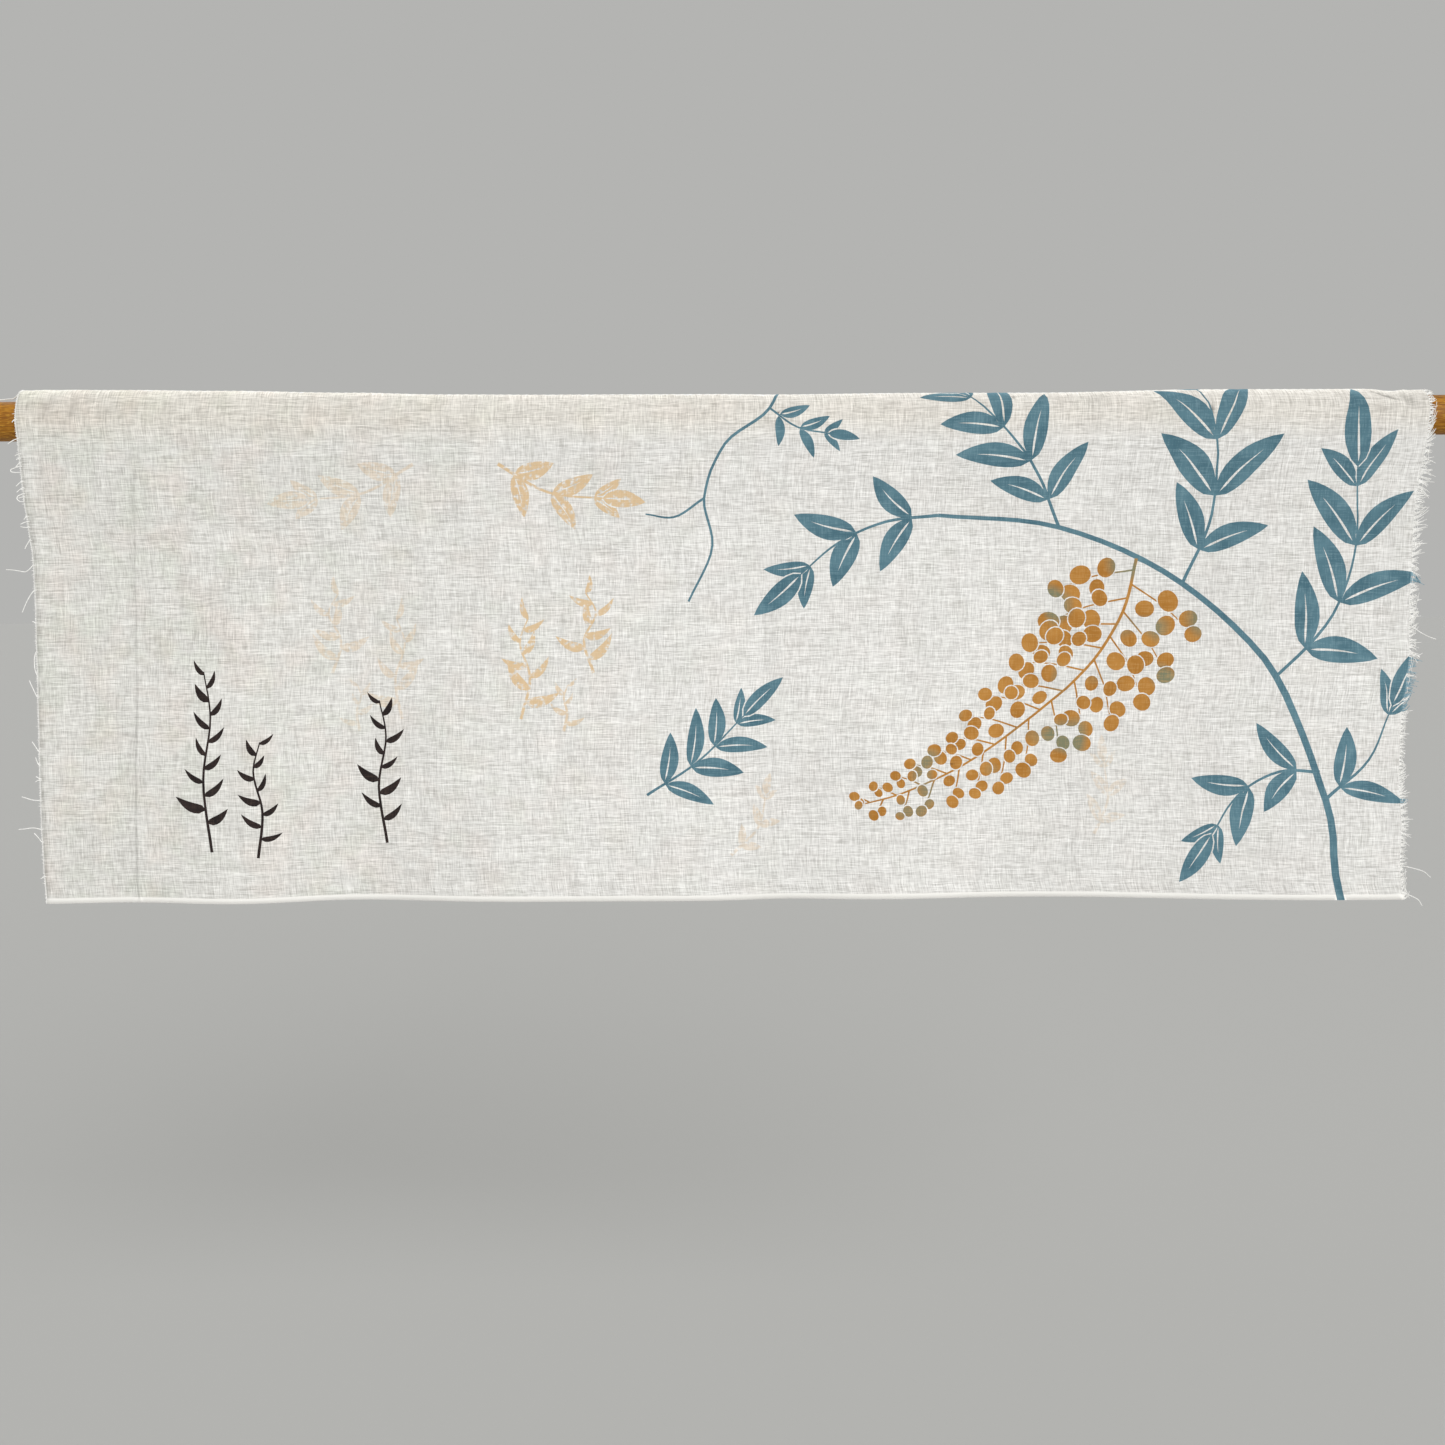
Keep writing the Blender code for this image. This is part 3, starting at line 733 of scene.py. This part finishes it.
def make_left_fray(materials):
    """The clean-cut end: its last cross yarn, a short fuzz of yarn ends, and loose yarns and loops."""
    random.seed(LEFT_FRAY_SEED)
    ups = np.arange(0.0, CLOTH_WIDTH, 2.0)
    last_weft = Yarn(hang(0.15 + 0.1 * np.sin(ups * 0.5), ups, 0.1), np.full(len(ups), 0.48), 0)
    yarns = [last_weft, *loose_yarns(LEFT_LOOSE, 0.0, -1.0)]
    up = 0.5
    while up < CLOTH_WIDTH - 0.5:
        reach = random.uniform(0.2, 0.7) + (0.9 if random.random() < 0.07 else 0.0)
        steps = np.array([0.0, 0.5, 1.0])
        rises = np.clip(up + random.uniform(-0.6, 0.6) * steps ** 2, 0.0, CLOTH_WIDTH)
        yarns.append(Yarn(hang(0.8 - (reach + 0.8) * steps, rises, 0.1 + 0.15 * steps),
                          (0.55, 0.5, 0.3), 0))
        up += YARN_PITCH * random.uniform(1.0, 2.6)
    return yarn_piece("left_fray", yarns, LOOSE_THICKNESS, materials)


def make_long_right_yarns(materials):
    return yarn_piece("long_right_yarns", loose_yarns(RIGHT_LOOSE, CLOTH_LENGTH, 1.0),
                      LOOSE_THICKNESS, materials)


# Rod

END_ROUND = 0.8
ROD_SIDES = 96
RING_STEP = 20
# The turned rod isn't quite even: its radius drifts by this much, in waves along it.
ROD_DRIFT = 0.06
ROD_DRIFT_RATE = 0.021
ROD_PROFILE = (
    (0.0, 0.0), (0.0, ROD_RADIUS - END_ROUND), (0.25 * END_ROUND, ROD_RADIUS - 0.25 * END_ROUND),
    (END_ROUND, ROD_RADIUS),
)


def make_rod(material):
    """A turned dowel: its profile runs from the left end's centre to the right end's."""
    left = [Vector((x * MM, 0.0, radius * MM)) for x, radius in ROD_PROFILE]
    middle = [Vector((x * MM, 0.0, (ROD_RADIUS - ROD_DRIFT + ROD_DRIFT * math.sin(x * ROD_DRIFT_RATE)) * MM))
              for x in range(RING_STEP, int(ROD_LENGTH) - RING_STEP // 2, RING_STEP)]
    right = [Vector((ROD_LENGTH * MM - point.x, 0.0, point.z)) for point in reversed(left)]
    profile = left + middle + right
    mesh = bpy.data.meshes.new("varnished_rod")
    mesh.from_pydata(profile, [(i, i + 1) for i in range(len(profile) - 1)], [])
    mesh.materials.append(material)
    rod = bpy.data.objects.new("varnished_rod", mesh)
    bpy.context.scene.collection.objects.link(rod)
    turn = rod.modifiers.new("Turned", "SCREW")
    turn.axis = "X"
    turn.steps = ROD_SIDES
    turn.render_steps = ROD_SIDES
    turn.use_merge_vertices = True
    turn.merge_threshold = 1e-6
    turn.use_smooth_shade = True
    turn.use_normal_calculate = True
    return rod


# Materials

def linear(hex_colour):
    """Linear colour from an sRGB hex value."""
    channels = [int(hex_colour[i:i + 2], 16) / 255 for i in (1, 3, 5)]
    return (*[c / 12.92 if c <= 0.04045 else ((c + 0.055) / 1.055) ** 2.4 for c in channels], 1.0)


def socket_in_use(sockets, key):
    """The socket of that number, or the first one in use that has that name."""
    if isinstance(key, int):
        return sockets[key]
    return next(socket for socket in sockets if socket.enabled and socket.name == key)


def add_node(tree, kind, sockets, **settings):
    """Add a node with its settings; a socket takes a value, another node, or one of its outputs.

    The numbered sockets of a map range are its value, the range it comes from and the range it goes to.
    """
    new = tree.nodes.new(kind)
    for name, value in settings.items():
        setattr(new, name, value)
    for key, value in sockets.items():
        if isinstance(value, bpy.types.Node):
            value = next(output for output in value.outputs if output.enabled)
        if isinstance(value, bpy.types.NodeSocket):
            tree.links.new(value, socket_in_use(new.inputs, key))
        else:
            socket_in_use(new.inputs, key).default_value = value
    return new


def new_material(name):
    material = bpy.data.materials.new(name)
    material.use_nodes = True
    material.node_tree.nodes.clear()
    return material, material.node_tree


def finish_material(tree, sockets):
    shader = add_node(tree, "ShaderNodeBsdfPrincipled", sockets)
    add_node(tree, "ShaderNodeOutputMaterial", {"Surface": shader})


# Layers of thick and thin places: the axis the yarns lie across, their length, and how much they show.
Slubs = namedtuple("Slubs", "across length weight")
SLUB_LAYERS = (Slubs(1, 8.0, 1.0), Slubs(0, 8.0, 0.9), Slubs(1, 45.0, 0.7), Slubs(0, 45.0, 0.5))
NEXT_YARN_SHIFT = 9.13


def woven_yarns(tree, place):
    """Light and dark of crossed yarns, about 0 in the middle: every yarn has thick and thin places."""
    patches = add_node(tree, "ShaderNodeTexNoise", {"Vector": place, "Scale": 1 / 26.0, "Detail": 1.0})
    total = 0.0
    for layer in SLUB_LAYERS:
        steps = [0.01, 0.01, 1.0]
        stretch = [1 / layer.length, 1 / layer.length, 1.0]
        steps[layer.across] = YARN_PITCH
        stretch[layer.across] = NEXT_YARN_SHIFT
        counted = add_node(tree, "ShaderNodeVectorMath", {0: place, 1: steps}, operation="SNAP")
        shifted = add_node(tree, "ShaderNodeMapping",
                           {"Vector": counted, "Scale": stretch,
                            "Location": (0.31, 0.47, layer.length + 5.0 * layer.across)})
        slubs = add_node(tree, "ShaderNodeTexNoise", {"Vector": shifted, "Scale": 1.0, "Detail": 1.0})
        shows = add_node(tree, "ShaderNodeMapRange",
                         {0: patches, 1: 0.35, 2: 0.65, 3: layer.weight * (1.0 - 0.25 * layer.across),
                          4: layer.weight * (0.75 + 0.25 * layer.across)})
        slubs = add_node(tree, "ShaderNodeMath", {0: slubs, 1: 0.5}, operation="SUBTRACT")
        total = add_node(tree, "ShaderNodeMath", {0: slubs, 1: shows, 2: total}, operation="MULTIPLY_ADD")
    return total


SHADED_YARN = "#bebcb8"
LIT_YARN = "#fcfbf8"
Cloud = namedtuple("Cloud", "tint size seed low")
TINT_CLOUDS = (Cloud("#fff7f4", 27.0, 20.0, 0.46), Cloud("#f5f9f3", 22.0, 51.0, 0.48))
# Tints along the flat cloth (axis 0) or up it (axis 1), in millimetres: strongest at near, gone at far.
Fade = namedtuple("Fade", "tint axis near far most")
# Painted shade: the cloth grows darker towards its left end, its right end and its lower edge; the last, warm
# tint is a painted see-through of the amber rod over the fold.
PAINTED_LIGHT_FADES = (
    Fade("#f5f5f3", 0, 30.0, 430.0, 1.0), Fade("#fbfbfb", 0, 860.0, 520.0, 1.0),
    Fade("#fcfcfc", 1, 0.0, 150.0, 1.0), Fade("#fdf9f3", 1, 312.0, 296.0, 0.8),
)
PALE_EDGES = (
    Fade("#fffdf8", 1, 3.2, 3.9, 0.95), Fade("#fffdf8", 1, CLOTH_WIDTH - 3.2, CLOTH_WIDTH - 3.9, 0.95),
    Fade("#f3f2ee", 0, 0.6, 1.2, 0.5),
)


def bare_cotton(tree, place, yarns):
    """Undyed cloth: off-white, a little pink or green in patches, more so towards the left end; painted shade
    greys it towards the left end, the right end and the lower edge, a painted warm tint stands for the amber
    rod showing through the thin cloth over the fold, and it is paler along the selvedges and the left cut
    end."""
    tone = add_node(tree, "ShaderNodeMapRange", {0: yarns, 1: -0.33, 2: 0.33})
    colour = add_node(tree, "ShaderNodeMix",
                      {"Factor": tone, "A": linear(SHADED_YARN), "B": linear(LIT_YARN)}, data_type="RGBA")
    parts = add_node(tree, "ShaderNodeSeparateXYZ", {"Vector": place})
    worn = add_node(tree, "ShaderNodeMapRange", {0: parts.outputs[0], 1: 120.0, 2: 520.0, 3: 0.55, 4: 0.14})
    for cloud in TINT_CLOUDS:
        moved = add_node(tree, "ShaderNodeMapping", {"Vector": place, "Location": (cloud.seed,) * 3})
        patches = add_node(tree, "ShaderNodeTexNoise",
                           {"Vector": moved, "Scale": 1 / cloud.size, "Detail": 2.0})
        share = add_node(tree, "ShaderNodeMapRange", {0: patches, 1: cloud.low, 2: 0.68, 3: 0.0, 4: worn})
        colour = add_node(tree, "ShaderNodeMix", {"Factor": share, "A": colour, "B": linear(cloud.tint)},
                          data_type="RGBA", blend_type="MULTIPLY")
    # First the painted shade and the painted see-through of the rod, then the paler edges.
    for fades, blend in ((PAINTED_LIGHT_FADES, "MULTIPLY"), (PALE_EDGES, "MIX")):
        for fade in fades:
            share = add_node(tree, "ShaderNodeMapRange",
                             {0: parts.outputs[fade.axis], 1: fade.near, 2: fade.far, 3: fade.most, 4: 0.0})
            colour = add_node(tree, "ShaderNodeMix", {"Factor": share, "A": colour, "B": linear(fade.tint)},
                              data_type="RGBA", blend_type=blend)
    return colour


# A dye where its paste lay thin and thick, its paler worn threads, and what it has turned to in places.
Dye = namedtuple("Dye", "thin thick thread turned")
STENCIL_DYES = (
    Dye("#5b7f8c", "#476b79", "#87a6b0", None),
    Dye("#b9823c", "#a8722e", "#d0a56a", "#6b7f6c"),
    Dye("#2a2120", "#181213", "#54443c", None),
)
GHOST_DYE = "#d9b98b"


def dyed_cotton(tree, place, yarns, bare):
    """The four dyes over the bare cloth; each keeps the yarns, and drifts where the paste was uneven."""
    dyes = add_node(tree, "ShaderNodeAttribute", {}, attribute_name="dyes")
    amounts = add_node(tree, "ShaderNodeSeparateColor", {"Color": dyes.outputs["Color"]})
    clouds = add_node(tree, "ShaderNodeTexNoise", {"Vector": place, "Scale": 1 / 18.0, "Detail": 2.0})
    drift = add_node(tree, "ShaderNodeMapRange", {0: clouds, 1: 0.36, 2: 0.64})
    worn = add_node(tree, "ShaderNodeMapRange", {0: yarns, 1: -0.05, 2: 0.30, 3: 0.0, 4: 0.40})
    far = add_node(tree, "ShaderNodeMapping", {"Vector": place, "Location": (83.0, 41.0, 7.0)})
    fading = add_node(tree, "ShaderNodeTexNoise", {"Vector": far, "Scale": 1 / 26.0, "Detail": 0.0})
    turning = add_node(tree, "ShaderNodeMapRange", {0: fading, 1: 0.58, 2: 0.74, 3: 0.0, 4: 0.8})
    ghost_patches = add_node(tree, "ShaderNodeTexNoise", {"Vector": far, "Scale": 1 / 2.6, "Detail": 2.0})
    ghost = add_node(tree, "ShaderNodeMapRange", {0: ghost_patches, 1: 0.31, 2: 0.50, 3: 0.0, 4: 0.85})
    ghost = add_node(tree, "ShaderNodeMath", {0: dyes.outputs["Alpha"], 1: ghost}, operation="MULTIPLY")
    colour = add_node(tree, "ShaderNodeMix", {"Factor": ghost, "A": bare, "B": linear(GHOST_DYE)},
                      data_type="RGBA")
    for amount, dye in zip(amounts.outputs, STENCIL_DYES):
        tone = add_node(tree, "ShaderNodeMix",
                        {"Factor": drift, "A": linear(dye.thin), "B": linear(dye.thick)}, data_type="RGBA")
        if dye.turned:
            tone = add_node(tree, "ShaderNodeMix", {"Factor": turning, "A": tone, "B": linear(dye.turned)},
                            data_type="RGBA")
        tone = add_node(tree, "ShaderNodeMix", {"Factor": worn, "A": tone, "B": linear(dye.thread)},
                        data_type="RGBA")
        colour = add_node(tree, "ShaderNodeMix", {"Factor": amount, "A": colour, "B": tone}, data_type="RGBA")
    return colour


def printed_cotton():
    """Plain-woven slubby cotton, washed but not bleached, dyed through a paper stencil.

    To the eye it is matt and slightly uneven: thick and thin yarns, 0.5 mm apart, cross as short pale and
    grey streaks, and the dye keeps those streaks.
    """
    material, tree = new_material("printed plain-weave cotton")
    place = add_node(tree, "ShaderNodeAttribute", {}, attribute_name="cloth_place").outputs["Vector"]
    yarns = woven_yarns(tree, place)
    colour = dyed_cotton(tree, place, yarns, bare_cotton(tree, place, yarns))
    # Painted shade along the creases and wrinkles, mixed towards dark grey; where negative, a painted
    # highlight.
    dull = add_node(tree, "ShaderNodeAttribute", {}, attribute_name="dull").outputs["Fac"]
    colour = add_node(tree, "ShaderNodeMix", {"Factor": dull, "A": colour, "B": linear("#3a3632")},
                      data_type="RGBA", clamp_factor=False, clamp_result=True)
    bump = add_node(tree, "ShaderNodeBump", {"Strength": 0.3, "Distance": 0.25 * MM, "Height": yarns})
    finish_material(tree, {"Base Color": colour, "Roughness": 0.92, "Sheen Weight": 0.1,
                           "Sheen Roughness": 0.5, "Specular IOR Level": 0.25, "Normal": bump})
    return material


def loose_yarn(name, shade, light):
    """Single cotton yarn pulled from the weave: soft, matt, paler than the cloth and a little uneven."""
    material, tree = new_material(name)
    place = add_node(tree, "ShaderNodeTexCoord", {}).outputs["Object"]
    uneven = add_node(tree, "ShaderNodeTexNoise", {"Vector": place, "Scale": 700.0, "Detail": 2.0})
    twist = add_node(tree, "ShaderNodeMapRange", {0: uneven, 1: 0.3, 2: 0.7})
    colour = add_node(tree, "ShaderNodeMix", {"Factor": twist, "A": linear(shade), "B": linear(light)},
                      data_type="RGBA")
    bump = add_node(tree, "ShaderNodeBump", {"Strength": 0.4, "Distance": 0.06 * MM, "Height": uneven})
    finish_material(tree, {"Base Color": colour, "Roughness": 0.9, "Sheen Weight": 0.2,
                           "Specular IOR Level": 0.25, "Normal": bump})
    return material


# Streaks, pores and flecks of the wood, drawn out along the rod, in millimetres.
Grain = namedtuple("Grain", "length width detail low high most tint")
WOOD_GRAIN = (
    Grain(90.0, 3.2, 2.0, 0.40, 0.62, 1.0, "#b07722"), Grain(7.0, 0.9, 3.0, 0.46, 0.62, 0.75, "#7a4b17"),
    Grain(4.5, 0.8, 2.0, 0.50, 0.66, 0.70, "#c79336"), Grain(14.0, 0.5, 2.0, 0.56, 0.66, 0.55, "#5f3810"),
)
YEAR_RING = 2.1
PITH = (0.0, 0.005, 0.009)


def varnished_wood():
    """Turned softwood dowel under an amber varnish that has darkened with handling.

    To the eye it is mottled amber: short dark pores and pale flecks run along the rod over broader
    streaks, under a thin satin varnish with hardly any shine. The sawn ends show the year rings.
    """
    material, tree = new_material("varnished turned wood")
    place = add_node(tree, "ShaderNodeTexCoord", {}).outputs["Object"]
    colour = linear("#96611c")
    for grain in WOOD_GRAIN:
        drawn_out = add_node(tree, "ShaderNodeMapping",
                             {"Vector": place, "Location": (grain.length,) * 3,
                              "Scale": (1000 / grain.length, 1000 / grain.width, 1000 / grain.width)})
        streaks = add_node(tree, "ShaderNodeTexNoise",
                           {"Vector": drawn_out, "Scale": 1.0, "Detail": grain.detail})
        share = add_node(tree, "ShaderNodeMapRange",
                         {0: streaks, 1: grain.low, 2: grain.high, 3: 0.0, 4: grain.most})
        colour = add_node(tree, "ShaderNodeMix", {"Factor": share, "A": colour, "B": linear(grain.tint)},
                          data_type="RGBA")
    # A wave texture at scale 1 has its rings a twentieth of tau apart.
    off_pith = add_node(tree, "ShaderNodeMapping", {"Vector": place, "Location": PITH})
    rings = add_node(tree, "ShaderNodeTexWave",
                     {"Vector": off_pith, "Scale": math.tau / (20 * YEAR_RING * MM), "Distortion": 1.2,
                      "Detail": 1.0}, wave_type="RINGS", rings_direction="X", wave_profile="SAW")
    sawn = add_node(tree, "ShaderNodeMix", {"Factor": rings, "A": linear("#b58244"), "B": linear("#855728")},
                    data_type="RGBA")
    along = add_node(tree, "ShaderNodeSeparateXYZ", {"Vector": place}).outputs[0]
    from_middle = add_node(tree, "ShaderNodeMath", {0: along, 1: ROD_LENGTH / 2 * MM}, operation="SUBTRACT")
    from_middle = add_node(tree, "ShaderNodeMath", {0: from_middle}, operation="ABSOLUTE")
    at_end = add_node(tree, "ShaderNodeMapRange", {0: from_middle, 1: (ROD_LENGTH / 2 - 0.5) * MM,
                                                   2: (ROD_LENGTH / 2 - 0.2) * MM})
    colour = add_node(tree, "ShaderNodeMix", {"Factor": at_end, "A": colour, "B": sawn}, data_type="RGBA")
    bump = add_node(tree, "ShaderNodeBump", {"Strength": 0.2, "Distance": 0.06 * MM, "Height": streaks})
    finish_material(tree, {"Base Color": colour, "Roughness": 0.55, "Specular IOR Level": 0.2,
                           "Coat Weight": 0.04, "Coat Roughness": 0.4, "Normal": bump})
    return material


def plain_floor():
    """Matt pale grey studio floor."""
    material, tree = new_material("pale studio floor")
    finish_material(tree, {"Base Color": linear("#b7b7b5"), "Roughness": 0.95,
                           "Specular IOR Level": 0.1})
    return material


# Camera, light and floor

LENS = 34.655
SENSOR_WIDTH = 36.0
PITCH_DOWN = 4.8
ROLL = 0.276
CAMERA_PLACE = (0.5, -0.907, -0.120)
FLOOR_HEIGHT = -0.75
FLOOR_REACH = 60.0
Softbox = namedtuple("Softbox", "name place strength softness")
SOFTBOXES = (
    Softbox("front softbox", (1.4, -1.9, 0.75), 2.25, 50.0),
    Softbox("back softbox", (0.1, 1.6, 1.3), 1.0, 60.0),
)
LIT_PLACE = (0.5, 0.0, -0.15)


def add_camera():
    camera = bpy.data.cameras.new("photograph view")
    camera.lens = LENS
    camera.sensor_width = SENSOR_WIDTH
    camera.clip_start = 0.02
    eye = bpy.data.objects.new("photograph view", camera)
    tilt = Matrix.Rotation(math.radians(90 - PITCH_DOWN), 4, "X")
    roll = Matrix.Rotation(math.radians(-ROLL), 4, "Z")
    eye.matrix_world = Matrix.Translation(CAMERA_PLACE) @ (tilt @ roll)
    bpy.context.scene.collection.objects.link(eye)
    bpy.context.scene.camera = eye


def add_soft_sun(softbox):
    """A wide even light that shines from a place towards the middle of the cloth."""
    light = bpy.data.lights.new(softbox.name, "SUN")
    light.energy = softbox.strength
    light.angle = math.radians(softbox.softness)
    lamp = bpy.data.objects.new(softbox.name, light)
    lamp.location = softbox.place
    aim = Vector(LIT_PLACE) - Vector(softbox.place)
    lamp.rotation_euler = aim.to_track_quat("-Z", "Y").to_euler()
    bpy.context.scene.collection.objects.link(lamp)


def add_studio(floor_material):
    world = bpy.data.worlds.new("pale studio")
    world.use_nodes = True
    world.node_tree.nodes["Background"].inputs["Color"].default_value = linear("#b4b4b2")
    bpy.context.scene.world = world
    for softbox in SOFTBOXES:
        add_soft_sun(softbox)
    mesh = bpy.data.meshes.new("floor")
    corners = [(x * FLOOR_REACH, y * FLOOR_REACH, 0.0) for x, y in ((-1, -1), (1, -1), (1, 1), (-1, 1))]
    mesh.from_pydata(corners, [], [(0, 1, 2, 3)])
    mesh.materials.append(floor_material)
    floor = bpy.data.objects.new("floor", mesh)
    floor.location = (0.5, 0.0, FLOOR_HEIGHT)
    bpy.context.scene.collection.objects.link(floor)


def main():
    bpy.context.scene.view_settings.view_transform = "Standard"
    add_camera()
    add_studio(plain_floor())
    bare_yarn = loose_yarn("loose cotton yarn", "#e2e1dd", "#fbfaf7")
    blue_yarn = loose_yarn("loose cotton yarn, dyed blue", "#6b909f", "#9ab6c1")
    shapes = printed_shapes()
    cloth = make_cloth(shapes, printed_cotton())
    right = make_right_fray(shapes, [bare_yarn, blue_yarn])
    long_right = make_long_right_yarns([bare_yarn])
    left = make_left_fray([bare_yarn])
    rod = make_rod(varnished_wood())
    for piece, material_slot in ((cloth, "cotton_cloth"), (right, "frayed_cotton"), (left, "frayed_cotton"),
                                 (long_right, "frayed_cotton"), (rod, "rod_wood")):
        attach(piece, "root")
    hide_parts("tenugui_cloth")
    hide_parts("frayed_end_right")
    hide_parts("frayed_end_left")
    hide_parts("wooden_rod")


main()
